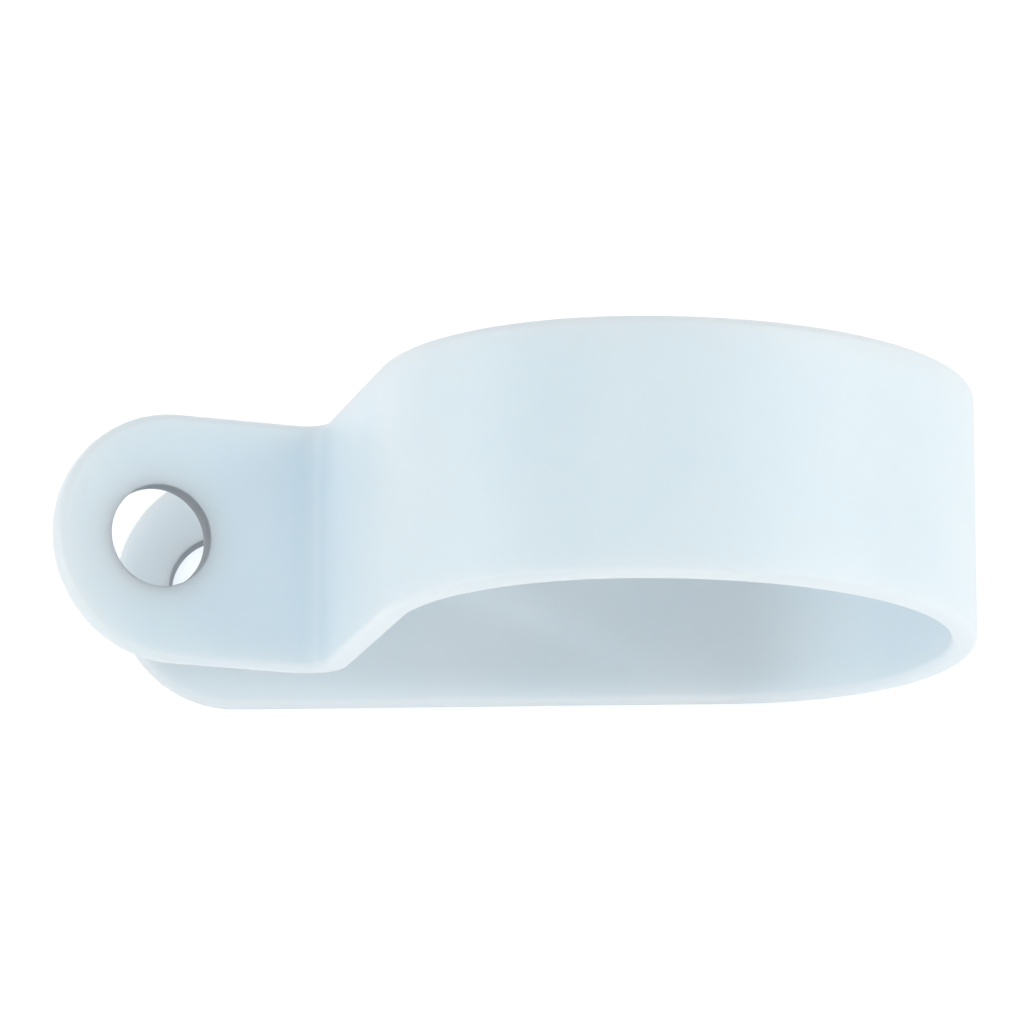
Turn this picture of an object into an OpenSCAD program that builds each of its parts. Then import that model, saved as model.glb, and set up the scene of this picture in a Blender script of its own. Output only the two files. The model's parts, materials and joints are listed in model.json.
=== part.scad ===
// P clip for cables: one moulded nylon strap, standing open as it leaves the mould.
// The strap runs from the lower ear along a flat base, turns up round the heel, over
// the arch and the shoulder, down the riser, and back out into the upper ear. A screw
// through both ears pulls them together and closes the loop on the cable.
//
// Frame: millimetres, +Z up. The base lies on the plane z = 0. The origin is the centre
// of the lower ear's hole on the underside. +X runs from the ears to the loop, and the
// cable lies along Y, with the strap's width centred on y = 0.

/* [Strap] */
// Width of the strap, along the cable
strap_w = 12.7; // [8:0.1:20]
// Thickness of the strap
strap_t = 1.3; // [1:0.1:2]
// Rounding of the strap's edges
edge_r = 0.4; // [0.1:0.05:0.45]

/* [Loop] */
// Inside radius of the arch, which sets the cable bundle that the clip takes
arch_r = 15.4; // [13:0.1:25]
// Angle that the arch turns through
arch_angle = 124.5; // [115:0.5:135]
// Inside radius of the heel, where the base turns up
heel_r = 10.6; // [6:0.1:14]
// Angle that the heel turns through
heel_angle = 58; // [45:1:65]
// Inside radius of the shoulder, where the arch turns down into the riser
shoulder_r = 11.5; // [8:0.1:14]
// Lean of the riser from upright
riser_lean = 17.5; // [8:0.5:25]

/* [Ears] */
// Diameter of the screw hole in each ear
hole_d = 5.2; // [3:0.1:5.6]
// Distance of each hole past the centre of its ear's round end
hole_lead = 0.9; // [0:0.05:1]
// Flat length of the upper ear from its hole to the joggle, as room for a screw head
ear_len = 7.25; // [5:0.05:10]
// Upward tilt of the upper ear while the clip is open
ear_tilt = 24.5; // [10:0.5:30]
// Height of the upper hole's centre above the lower one while the clip is open
hole_rise = 12; // [9:0.1:14]
// How far the upper hole reaches out past the lower one while the clip is open
hole_overreach = 2; // [0:0.1:3]
// Inside radius of the joggle, where the riser turns out into the upper ear
joggle_r = 1.05; // [0.5:0.05:2]

/* [Hidden] */
$fn = 180;
natural_nylon = [0.85, 0.90, 0.94];
edge_steps = 3;                          // flats in the rounding of each edge
bend_step = 4;                           // most that a bend turns from one cross-section to the next
tip_steps = 12;                          // cross-sections round each half of an ear's round end
hole_clear = 1;                          // how far a drill runs past each face

half_w = strap_w / 2;
half_t = strap_t / 2;

// Bend radii on the strap's centreline
heel_bend = heel_r + half_t;
arch_bend = arch_r + half_t;
shoulder_bend = shoulder_r + half_t;
joggle_bend = joggle_r + half_t;

// Directions of the centreline, in degrees from +X towards +Z
base_dir = 0;
heel_end = base_dir + heel_angle;
arch_end = heel_end + arch_angle;
riser_dir = 270 - riser_lean;
ear_dir = 180 - ear_tilt;

// Step [x, z] along a straight run, and along a bend from one direction to another. The
// bend's radius is negative where it turns to the right.
function run(length, dir) = length * [cos(dir), sin(dir)];
function bend(r, from, to) = r * [sin(to) - sin(from), cos(from) - cos(to)];

// All that lies between the two holes, apart from the base and the riser
fixed_steps = bend(heel_bend, base_dir, heel_end)
    + bend(arch_bend, heel_end, arch_end)
    + bend(shoulder_bend, arch_end, riser_dir)
    + bend(-joggle_bend, riser_dir, ear_dir)
    + run(ear_len, ear_dir);

// The riser closes the gap in height and the base closes it in length, so that the
// upper hole stays over the lower one whatever the size of the loop
riser_len = (hole_rise - fixed_steps.y) / sin(riser_dir);
base_len = -hole_overreach - fixed_steps.x - run(riser_len, riser_dir).x;

// Points [x, z] on the centreline where its runs and bends begin
lower_hole = [0, half_t];
heel_start = lower_hole + run(base_len, base_dir);
arch_start = heel_start + bend(heel_bend, base_dir, heel_end);
shoulder_start = arch_start + bend(arch_bend, heel_end, arch_end);
riser_start = shoulder_start + bend(shoulder_bend, arch_end, riser_dir);
joggle_start = riser_start + run(riser_len, riser_dir);
ear_start = joggle_start + bend(-joggle_bend, riser_dir, ear_dir);
upper_hole = ear_start + run(ear_len, ear_dir);

// The strap is swept along its centreline through a list of stations. A station is
// [point, direction, fan]. Its fan is 0 on the strap's length. Round an ear's end it is
// the angle on the arc, and reaches -90 or 90 at the tip.
function bend_stations(start, r, from, to) =
    let (steps = ceil(abs(to - from) / bend_step))
        [
            for (i = [1:steps])
                let (dir = from + (to - from) * i / steps)
                    [start + bend(r, from, dir), dir, 0]
        ];

function tip_stations(arc_centre, dir, from, to) =
    [
        for (i = [0:tip_steps])
            [arc_centre, dir, from + (to - from) * i / tip_steps]
    ];

stations = concat(
    tip_stations(lower_hole + run(hole_lead, base_dir), base_dir, -90, 0),
    [[heel_start, base_dir, 0]],
    bend_stations(heel_start, heel_bend, base_dir, heel_end),
    bend_stations(arch_start, arch_bend, heel_end, arch_end),
    bend_stations(shoulder_start, shoulder_bend, arch_end, riser_dir),
    [[joggle_start, riser_dir, 0]],
    bend_stations(joggle_start, -joggle_bend, riser_dir, ear_dir),
    tip_stations(upper_hole - run(hole_lead, ear_dir), ear_dir, 0, 90)
);

// One rounded side of the cross-section, from the underside to the top. Each point is
// [inset from the strap's side, height over the centreline].
side_profile = [
    for (face = [-1, 1], i = [0:edge_steps])
        let (around = 90 * (face > 0 ? i : edge_steps - i) / edge_steps)
            [
                edge_r * (1 - cos(around)),
                face * (half_t - edge_r * (1 - sin(around)))
            ]
];
profile_size = len(side_profile);
section_size = 2 * profile_size;

// The cross-section at a station: up one side of the strap and down the other
function section(station) =
    [
        for (side = [1, -1], i = [0:profile_size - 1])
            let (
                corner = side_profile[side > 0 ? i : profile_size - 1 - i],
                reach = half_w - corner.x,
                place = station[0]
                    + run(reach * sin(station[2]), station[1])
                    + run(corner.y, station[1] + 90)
            )
                [place.x, side * reach * cos(station[2]), place.y]
    ];

// The strap without its holes. Its first and last cross-sections close up at the tips.
module strap() {
    polyhedron(
        points = [for (station = stations) each section(station)],
        faces = [
            for (i = [0:len(stations) - 2], j = [0:section_size - 1])
                let (
                    here = i * section_size,
                    ahead = here + section_size,
                    next = (j + 1) % section_size
                )
                    [here + j, ahead + j, ahead + next, here + next]
        ],
        convexity = 6
    );
}

// Screw hole through an ear that is tilted by an angle from level, square to its faces
module screw_hole(centre, tilt) {
    translate([centre.x, 0, centre.y])
        rotate([0, tilt, 0])
            cylinder(d = hole_d, h = strap_t + 2 * hole_clear, center = true);
}

module clip_body() {
    color(natural_nylon)
        difference() {
            strap();
            screw_hole(lower_hole, 0);
            screw_hole(upper_hole, ear_tilt);
        }
}

clip_body();
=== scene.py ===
# %% [markdown]
# # A nylon P clip
#
# A P clip is one strap of nylon, bent round a bundle of cables. Two ears at its ends meet
# under one screw. This notebook dresses the clip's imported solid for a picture: it models
# the strap again with fine, rounded surfaces, gives it the milky look of natural nylon,
# and sets up the floor, the light and the camera.
#
# Everything is in metres, in the solid's own frame: the base lies on z = 0, +X runs from
# the ears to the loop, and the strap's width runs along Y.

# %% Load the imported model
import json
from math import atan2, ceil, cos, degrees, pi, radians, sin

import bpy
from mathutils import Matrix, Vector


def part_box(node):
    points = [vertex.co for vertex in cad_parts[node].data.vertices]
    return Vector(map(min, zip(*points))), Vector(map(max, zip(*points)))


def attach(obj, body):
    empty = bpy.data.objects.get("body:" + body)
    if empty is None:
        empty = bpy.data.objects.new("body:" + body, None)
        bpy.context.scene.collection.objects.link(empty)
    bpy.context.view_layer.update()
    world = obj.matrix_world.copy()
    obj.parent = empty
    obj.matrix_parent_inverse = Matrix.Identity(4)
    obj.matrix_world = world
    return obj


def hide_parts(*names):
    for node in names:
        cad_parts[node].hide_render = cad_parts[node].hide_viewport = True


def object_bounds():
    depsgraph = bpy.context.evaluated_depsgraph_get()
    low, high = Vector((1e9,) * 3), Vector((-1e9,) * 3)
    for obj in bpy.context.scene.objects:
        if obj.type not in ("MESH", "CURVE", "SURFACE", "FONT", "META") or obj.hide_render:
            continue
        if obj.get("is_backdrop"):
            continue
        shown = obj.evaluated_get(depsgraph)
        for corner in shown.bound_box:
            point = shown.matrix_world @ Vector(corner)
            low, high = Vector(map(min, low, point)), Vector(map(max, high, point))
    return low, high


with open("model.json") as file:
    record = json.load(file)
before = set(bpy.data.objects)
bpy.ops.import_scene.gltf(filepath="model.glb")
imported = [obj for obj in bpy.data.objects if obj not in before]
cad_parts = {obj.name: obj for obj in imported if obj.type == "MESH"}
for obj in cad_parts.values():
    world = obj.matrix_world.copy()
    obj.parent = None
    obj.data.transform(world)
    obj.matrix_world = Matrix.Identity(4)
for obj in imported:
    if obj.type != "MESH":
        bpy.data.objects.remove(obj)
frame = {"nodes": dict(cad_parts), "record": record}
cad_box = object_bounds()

MM = 0.001
print("solids:", sorted(frame["nodes"]))

# %% [markdown]
# ## The sizes that drive the strap
#
# The strap's width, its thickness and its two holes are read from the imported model, so
# the fine strap always fits it. The bends are the ones that a maker of clips would name:
# the heel turns up from the base, the arch goes over the cables, the shoulder turns down
# into the riser, and the joggle turns out into the upper ear.

# %% Strap, holes and bends
mounts = {mount["name"]: mount for mount in frame["record"]["mounts"]}
low_corner, high_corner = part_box("clip_body")

STRAP_W = high_corner.y - low_corner.y
STRAP_T = mounts["lower_hole"]["dims"]["length_mm"] * MM
HOLE_R = mounts["lower_hole"]["dims"]["r_mm"] * MM
HALF_W = STRAP_W / 2
HALF_T = STRAP_T / 2

HEEL_R = 10.6 * MM + HALF_T
ARCH_R = 15.4 * MM + HALF_T
SHOULDER_R = 11.5 * MM + HALF_T
JOGGLE_R = 1.05 * MM + HALF_T
HEEL_ANGLE = 58
ARCH_ANGLE = 124.5
EAR_LEN = 7.25 * MM
HOLE_LEAD = 0.9 * MM                     # from the centre of an ear's round end to its hole
EDGE_R = 0.4 * MM

upper_hole = Vector(mounts["upper_hole"]["pos_m"])
upper_axis = Vector(mounts["upper_hole"]["axis"]).normalized()
EAR_DIR = 180 - degrees(atan2(upper_axis.x, upper_axis.z))
RISER_DIR = 252.5
SHOULDER_TURN = RISER_DIR - HEEL_ANGLE - ARCH_ANGLE
JOGGLE_TURN = RISER_DIR - EAR_DIR

print(f"strap {STRAP_W / MM:.2f} x {STRAP_T / MM:.2f} mm, holes {2 * HOLE_R / MM:.2f} mm")
print(f"ear heads {EAR_DIR:.1f} deg, joggle turns {JOGGLE_TURN:.1f} deg")


# %% Where each run and bend begins
def heading(angle):
    """Unit vector in the strap's plane, by its angle from +X towards +Z."""
    return Vector((cos(radians(angle)), 0, sin(radians(angle))))


def bend_step(radius, start, end):
    """Step along a bend from one direction to another. A right bend's radius is negative."""
    return radius * (heading(start + 90) - heading(end + 90))


heel_end = HEEL_ANGLE
arch_end = heel_end + ARCH_ANGLE

after_base = (
    bend_step(HEEL_R, 0, heel_end)
    + bend_step(ARCH_R, heel_end, arch_end)
    + bend_step(SHOULDER_R, arch_end, RISER_DIR)
)
after_riser = bend_step(-JOGGLE_R, RISER_DIR, EAR_DIR) + EAR_LEN * heading(EAR_DIR)
span = upper_hole - Vector((0, 0, HALF_T)) - after_base - after_riser
RISER_LEN = span.z / heading(RISER_DIR).z
BASE_LEN = span.x - RISER_LEN * heading(RISER_DIR).x

heel_start = Vector((BASE_LEN, 0, HALF_T))
print(f"base {BASE_LEN / MM:.2f} mm, riser {RISER_LEN / MM:.2f} mm")

# %% [markdown]
# ## Modelling by hand, from a script
#
# Each step below is what a modeller would do with the mouse: select a face, extrude it or
# spin it, and go on from its far end. Selection is by place, so a small helper picks the
# faces whose centre lies near a point.


# %% Selection helpers
def select_faces(test):
    """Selects the faces of the mesh in edit mode that pass the test."""
    bpy.ops.mesh.select_all(action="DESELECT")
    bpy.ops.object.mode_set(mode="OBJECT")
    mesh = bpy.context.object.data
    for polygon in mesh.polygons:
        polygon.select = test(polygon)
    count = sum(polygon.select for polygon in mesh.polygons)
    bpy.ops.object.mode_set(mode="EDIT")
    bpy.ops.mesh.select_mode(type="FACE")
    return count


def select_edges(test):
    """Selects the edges of the mesh in edit mode whose two ends pass the test."""
    bpy.ops.mesh.select_mode(type="EDGE")
    bpy.ops.mesh.select_all(action="DESELECT")
    bpy.ops.object.mode_set(mode="OBJECT")
    mesh = bpy.context.object.data
    for edge in mesh.edges:
        edge.select = all(test(mesh.vertices[index].co) for index in edge.vertices)
    count = sum(edge.select for edge in mesh.edges)
    bpy.ops.object.mode_set(mode="EDIT")
    bpy.ops.mesh.select_mode(type="EDGE")
    return count


# %% [markdown]
# ## The strap
#
# The real strap keeps one cross-section from end to end, so the piece starts as that
# section: a plane as wide and as thick as the strap, standing where the base meets the
# heel. Spinning it makes each bend a true arc. A curve with a bevel could do the same, but
# its ends would have to be modelled apart, and a spin keeps the ears in one mesh.

# %% The cross-section
bpy.ops.object.select_all(action="DESELECT")
bpy.ops.mesh.primitive_plane_add(size=1, location=heel_start, rotation=(0, pi / 2, 0))
strap = bpy.context.object
strap.name = "strap"
bpy.ops.object.transform_apply(location=True, rotation=True, scale=True)
bpy.ops.object.mode_set(mode="EDIT")
bpy.ops.mesh.select_all(action="SELECT")
bpy.ops.transform.resize(value=(1, STRAP_W, STRAP_T), center_override=heel_start)
print("section drawn at", [round(c / MM, 2) for c in heel_start])

# %% [markdown]
# ### Bends and runs
#
# The selected face is the working end. A spin turns it round the bend's centre, and an
# extrusion pushes it straight ahead. A step of two degrees keeps the arch smooth, and the
# tight joggle needs no more than five.

# %% Bends and runs
BEND_STEP = 2
JOGGLE_STEP = 5


class Working:
    """The far end of the strap so far: its place on the centreline and its direction."""

    point = heel_start.copy()
    angle = 0.0


def turn(radius, angle, step):
    """Spins the working end to the left, or to the right with a negative angle."""
    side = 1 if angle > 0 else -1
    centre = Working.point + side * radius * heading(Working.angle + 90)
    bpy.ops.mesh.spin(
        steps=ceil(abs(angle) / step),
        angle=radians(abs(angle)),
        center=centre,
        axis=(0, side, 0),
    )
    Working.point = Working.point + bend_step(side * radius, Working.angle, Working.angle + angle)
    Working.angle += angle
    print(f"bend of {angle:6.1f} deg ends at {Working.point.x / MM:6.2f}, {Working.point.z / MM:6.2f}")


def push(length):
    """Extrudes the working end straight ahead."""
    ahead = length * heading(Working.angle)
    bpy.ops.mesh.extrude_region_move(TRANSFORM_OT_translate={"value": ahead})
    Working.point = Working.point + ahead
    print(f"run of {length / MM:7.2f} mm ends at {Working.point.x / MM:6.2f}, {Working.point.z / MM:6.2f}")


turn(HEEL_R, HEEL_ANGLE, BEND_STEP)
turn(ARCH_R, ARCH_ANGLE, BEND_STEP)
turn(SHOULDER_R, SHOULDER_TURN, BEND_STEP)
push(RISER_LEN)
turn(JOGGLE_R, -JOGGLE_TURN, JOGGLE_STEP)
push(EAR_LEN - HOLE_LEAD)

# %% [markdown]
# ### Round ends
#
# Each ear ends in a half circle as wide as the strap. The working end is pushed out in
# short steps, and each step narrows it to the circle's chord. The chords on the flat faces
# are dissolved afterwards, so each ear stays one clean, flat face.

# %% Round ends
TIP_STEPS = 30
TIP_END = 89.0                           # the last chord is left open this far round the arc


def round_end():
    """Pushes the working end out into a half circle."""
    across = Vector((0, 1, 0))
    before = 0.0
    for index in range(1, TIP_STEPS + 1):
        around = TIP_END * index / TIP_STEPS
        push_by = HALF_W * (sin(radians(around)) - sin(radians(before)))
        ahead = push_by * heading(Working.angle)
        bpy.ops.mesh.extrude_region_move(TRANSFORM_OT_translate={"value": ahead})
        Working.point = Working.point + ahead
        narrower = cos(radians(around)) / cos(radians(before))
        bpy.ops.transform.resize(
            value=(1, narrower, 1),
            center_override=Working.point,
        )
        before = around


round_end()
upper_tip = Working.point.copy()

select_faces(lambda p: p.normal.x < -0.99 and abs(p.center.x - heel_start.x) < 0.01 * MM)
Working.point = heel_start.copy()
Working.angle = 180.0
push(BASE_LEN - HOLE_LEAD)
round_end()
lower_tip = Working.point.copy()

bpy.ops.mesh.select_all(action="SELECT")
bpy.ops.mesh.remove_doubles(threshold=0.001 * MM)
bpy.ops.mesh.normals_make_consistent(inside=False)
print("tips at", [round(c / MM, 2) for c in (*upper_tip, *lower_tip)])

# %% [markdown]
# ### Rounded edges
#
# A mould leaves no sharp edge on a nylon strap. The chords on the flat faces go first, so
# that the rounding has whole faces to run on, and then every sharp edge is bevelled. A
# bevel modifier would do as well, but here the edges are picked once, while the strap has
# no holes yet, so the holes can keep a finer edge of their own.

# %% Round the strap's edges
EDGE_SEGMENTS = 4


def on_round_end(vertex_place, centre, direction):
    """True past the centre of an ear's arc."""
    return (vertex_place - centre).dot(direction) > -0.01 * MM


def dissolve_chords(centre, direction):
    """Clears the chords across an ear's flat faces, between the two sides of its arc."""
    bpy.ops.mesh.select_mode(type="EDGE")
    bpy.ops.mesh.select_all(action="DESELECT")
    bpy.ops.object.mode_set(mode="OBJECT")
    mesh = strap.data
    for edge in mesh.edges:
        a, b = (mesh.vertices[index].co for index in edge.vertices)
        across = a.y * b.y < 0 and abs(a.y + b.y) < 0.001 * MM
        past = (a - centre).dot(direction) > -0.01 * MM
        before_tip = (a - centre).dot(direction) < HALF_W * sin(radians(TIP_END)) - 0.001 * MM
        edge.select = across and past and before_tip
    bpy.ops.object.mode_set(mode="EDIT")
    bpy.ops.mesh.select_mode(type="EDGE")
    bpy.ops.mesh.dissolve_edges(use_verts=False)


upper_arc = upper_tip - HALF_W * sin(radians(TIP_END)) * heading(EAR_DIR)
lower_arc = lower_tip - HALF_W * sin(radians(TIP_END)) * heading(180)
dissolve_chords(upper_arc, heading(EAR_DIR))
dissolve_chords(lower_arc, heading(180))

bpy.ops.mesh.select_all(action="DESELECT")
bpy.ops.mesh.edges_select_sharp(sharpness=radians(60))
bpy.ops.mesh.bevel(
    offset=EDGE_R,
    offset_type="OFFSET",
    segments=EDGE_SEGMENTS,
    profile=0.5,
    clamp_overlap=False,
    miter_outer="ARC",
)
bpy.ops.object.mode_set(mode="OBJECT")
print("strap:", len(strap.data.vertices), "vertices after rounding")

# %% [markdown]
# ### Screw holes
#
# A hole is cut with a boolean modifier, which leaves a true round wall. The cutter is a
# fine cylinder, square to its ear, and is deleted when it has done its work.

# %% Cut the holes
HOLE_SIDES = 96
HOLE_EDGE_R = 0.15 * MM


def cut_hole(centre, axis):
    """Drills through the strap at a point on an ear's underside."""
    bpy.ops.object.select_all(action="DESELECT")
    bpy.ops.mesh.primitive_cylinder_add(
        vertices=HOLE_SIDES,
        radius=HOLE_R,
        depth=4 * STRAP_T,
        location=centre,
        rotation=axis.to_track_quat("Z", "Y").to_euler(),
    )
    drill = bpy.context.object
    bpy.ops.object.select_all(action="DESELECT")
    bpy.context.view_layer.objects.active = strap
    strap.select_set(True)
    modifier = strap.modifiers.new("hole", "BOOLEAN")
    modifier.operation = "DIFFERENCE"
    modifier.solver = "EXACT"
    modifier.object = drill
    bpy.ops.object.modifier_apply(modifier=modifier.name)
    bpy.data.objects.remove(drill)


def soften_rim(centre, axis):
    """Rounds the two rims of a hole a little."""

    def on_rim(place):
        off = place - centre
        along = off.dot(axis)
        radial = (off - along * axis).length
        return abs(radial - HOLE_R) < 0.01 * MM

    picked = select_edges(on_rim)
    bpy.ops.mesh.edges_select_sharp(sharpness=radians(60))
    bpy.ops.object.mode_set(mode="OBJECT")
    mesh = strap.data
    for edge in mesh.edges:
        if edge.select:
            edge.select = all(on_rim(mesh.vertices[index].co) for index in edge.vertices)
    bpy.ops.object.mode_set(mode="EDIT")
    bpy.ops.mesh.bevel(offset=HOLE_EDGE_R, segments=2, profile=0.5, clamp_overlap=False)
    bpy.ops.object.mode_set(mode="OBJECT")
    print("rims softened on", picked, "edges")


lower_axis = Vector((0, 0, 1))
holes = [
    (Vector((0, 0, HALF_T)), lower_axis),
    (upper_hole, upper_axis),
]
for centre, axis in holes:
    cut_hole(centre, axis)
for centre, axis in holes:
    bpy.ops.object.mode_set(mode="EDIT")
    soften_rim(centre, axis)

bpy.ops.object.shade_smooth_by_angle(angle=radians(35))
weighted = strap.modifiers.new("flat faces", "WEIGHTED_NORMAL")
weighted.keep_sharp = True
bpy.ops.object.modifier_apply(modifier=weighted.name)

bounds = [strap.matrix_world @ Vector(corner) for corner in strap.bound_box]
print("strap:", len(strap.data.polygons), "faces")
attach(strap, "root")
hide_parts("clip_body")

# %% [markdown]
# ## Natural nylon
#
# Nylon with no pigment is milky: light goes in, scatters, and comes out a little way off.
# The Principled shader does this with subsurface scattering, whose radius is about the
# strap's own thickness. A moulded part is never even, so slow clouds shift its tint, and a
# fine grain breaks up its gloss.

# %% Nylon
NYLON_THIN = (0.75, 0.86, 0.98, 1)
NYLON_THICK = (0.71, 0.83, 0.965, 1)


def nylon_material():
    """Milky, satin nylon with slow clouds in its tint and a fine grain in its gloss."""
    material = bpy.data.materials.new("natural_nylon")
    material.use_nodes = True
    nodes = material.node_tree.nodes
    links = material.node_tree.links
    shader = nodes["Principled BSDF"]
    shader.inputs["Subsurface Weight"].default_value = 0.9
    shader.inputs["Subsurface Radius"].default_value = (1.0, 1.1, 1.2)
    shader.inputs["Subsurface Scale"].default_value = 2 * STRAP_T
    shader.inputs["IOR"].default_value = 1.53

    place = nodes.new("ShaderNodeTexCoord")

    clouds = nodes.new("ShaderNodeTexNoise")
    clouds.inputs["Scale"].default_value = 110
    clouds.inputs["Detail"].default_value = 3
    links.new(place.outputs["Object"], clouds.inputs["Vector"])

    tint = nodes.new("ShaderNodeValToRGB")
    tint.color_ramp.elements[0].position = 0.3
    tint.color_ramp.elements[0].color = NYLON_THICK
    tint.color_ramp.elements[1].position = 0.7
    tint.color_ramp.elements[1].color = NYLON_THIN
    links.new(clouds.outputs["Fac"], tint.inputs["Fac"])
    links.new(tint.outputs["Color"], shader.inputs["Base Color"])

    grain = nodes.new("ShaderNodeTexNoise")
    grain.inputs["Scale"].default_value = 2600
    grain.inputs["Detail"].default_value = 4
    links.new(place.outputs["Object"], grain.inputs["Vector"])

    gloss = nodes.new("ShaderNodeMapRange")
    gloss.inputs["To Min"].default_value = 0.32
    gloss.inputs["To Max"].default_value = 0.44
    links.new(grain.outputs["Fac"], gloss.inputs["Value"])
    links.new(gloss.outputs["Result"], shader.inputs["Roughness"])

    bump = nodes.new("ShaderNodeBump")
    bump.inputs["Strength"].default_value = 0.06
    bump.inputs["Distance"].default_value = 0.05 * MM
    links.new(grain.outputs["Fac"], bump.inputs["Height"])
    links.new(bump.outputs["Normal"], shader.inputs["Normal"])
    return material


nylon = nylon_material()
strap.data.materials.clear()
strap.data.materials.append(nylon)
cad_strap = frame["nodes"]["clip_body"]
cad_strap.data.materials.clear()
cad_strap.data.materials.append(nylon)
print("material:", nylon.name)

# %% [markdown]
# ## Floor
#
# The floor is a pale sheet. It shows white to the camera, and to whatever looks at it by
# reflection or through the nylon, but it still takes the clip's shadow and lights the clip
# from below only as much as a pale floor would.

# %% Floor
FLOOR_SIZE = 3.0
FLOOR_COLOR = (0.9, 0.9, 0.9, 1)


def floor_material():
    """Pale floor that fills up to white for the camera and keeps its shadows."""
    material = bpy.data.materials.new("pale_floor")
    material.use_nodes = True
    nodes = material.node_tree.nodes
    links = material.node_tree.links
    nodes.remove(nodes["Principled BSDF"])
    output = nodes["Material Output"]

    sheet = nodes.new("ShaderNodeBsdfDiffuse")
    sheet.inputs["Color"].default_value = FLOOR_COLOR
    glow = nodes.new("ShaderNodeEmission")
    glow.inputs["Color"].default_value = (1, 1, 1, 1)

    path = nodes.new("ShaderNodeLightPath")
    seen = nodes.new("ShaderNodeMath")
    seen.operation = "MAXIMUM"
    links.new(path.outputs["Is Camera Ray"], seen.inputs[0])
    links.new(path.outputs["Is Glossy Ray"], seen.inputs[1])
    seen_through = nodes.new("ShaderNodeMath")
    seen_through.operation = "MAXIMUM"
    links.new(seen.outputs["Value"], seen_through.inputs[0])
    links.new(path.outputs["Is Transmission Ray"], seen_through.inputs[1])
    strength = nodes.new("ShaderNodeMath")
    strength.operation = "MULTIPLY"
    strength.inputs[1].default_value = 0.35
    links.new(seen_through.outputs["Value"], strength.inputs[0])
    links.new(strength.outputs["Value"], glow.inputs["Strength"])

    both = nodes.new("ShaderNodeAddShader")
    links.new(sheet.outputs["BSDF"], both.inputs[0])
    links.new(glow.outputs["Emission"], both.inputs[1])
    links.new(both.outputs["Shader"], output.inputs["Surface"])
    return material


bpy.ops.object.select_all(action="DESELECT")
bpy.ops.mesh.primitive_plane_add(size=FLOOR_SIZE, location=(0, 0, 0))
floor = bpy.context.object
floor.name = "floor"
floor.data.materials.append(floor_material())
floor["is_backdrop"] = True

# %% [markdown]
# ## Light
#
# Milky plastic needs soft light from all round, so the world gives most of it. One large
# lamp on the loop's side lifts the arch's far flank, and a second, from the ears' side,
# lights the riser.

# %% World and lamps
world = bpy.data.worlds.new("studio")
bpy.context.scene.world = world
world.use_nodes = True
background = world.node_tree.nodes["Background"]
background.inputs["Color"].default_value = (1, 1, 1, 1)
background.inputs["Strength"].default_value = 0.60

clip_middle = (low_corner + high_corner) / 2


def area_lamp(name, offset, size, power):
    """A square lamp at an offset from the clip's middle, facing it."""
    bpy.ops.object.light_add(type="AREA", location=clip_middle + Vector(offset))
    lamp = bpy.context.object
    lamp.name = name
    lamp.data.size = size
    lamp.data.energy = power
    lamp.rotation_euler = (-Vector(offset)).to_track_quat("-Z", "Y").to_euler()
    print(name, power, "W")
    return lamp


area_lamp("loop_side_lamp", (0.34, 0.03, 0.15), 0.25, 0.34)
area_lamp("ear_side_lamp", (-0.34, 0.0, 0.14), 0.25, 0.32)
area_lamp("high_lamp", (0.25, 0.09, 0.29), 0.10, 0.05)
area_lamp("front_lamp", (-0.17, -0.17, 0.30), 0.10, 0.06)
area_lamp("low_front_lamp", (0.08, -0.34, 0.16), 0.25, 0.26)

# %% [markdown]
# ## Camera
#
# The camera looks steeply down on the clip from in front, through a long lens, and leans a
# little with it, so the base lies level across the frame.

# %% Camera
VIEW_FROM_ABOVE = 76.8                   # degrees over the cable's direction
VIEW_LEAN = 3.2                          # degrees towards the loop
VIEW_DISTANCE = 343.4 * MM
VIEW_AIM = clip_middle + Vector((0.13, 0, 1.64)) * MM
LENS = 244.3

camera_data = bpy.data.cameras.new("camera")
camera_data.lens = LENS
camera = bpy.data.objects.new("camera", camera_data)
bpy.context.scene.collection.objects.link(camera)
camera.matrix_world = (
    Matrix.Translation(VIEW_AIM)
    @ Matrix.Rotation(radians(VIEW_LEAN), 4, "Y")
    @ Matrix.Rotation(radians(90 - VIEW_FROM_ABOVE), 4, "X")
    @ Matrix.Translation((0, 0, VIEW_DISTANCE))
)
bpy.context.scene.camera = camera
bpy.context.scene.view_settings.view_transform = "Standard"
print("camera at", [round(c / MM) for c in camera.matrix_world.translation])

# %% Print the two boxes, and finish
visual_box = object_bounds()
sizes = {
    "cad": [list(corner) for corner in cad_box],
    "visual": [list(corner) for corner in visual_box],
}
for name, (low, high) in sizes.items():
    print(name, [round(c / MM, 2) for c in (*low, *high)])
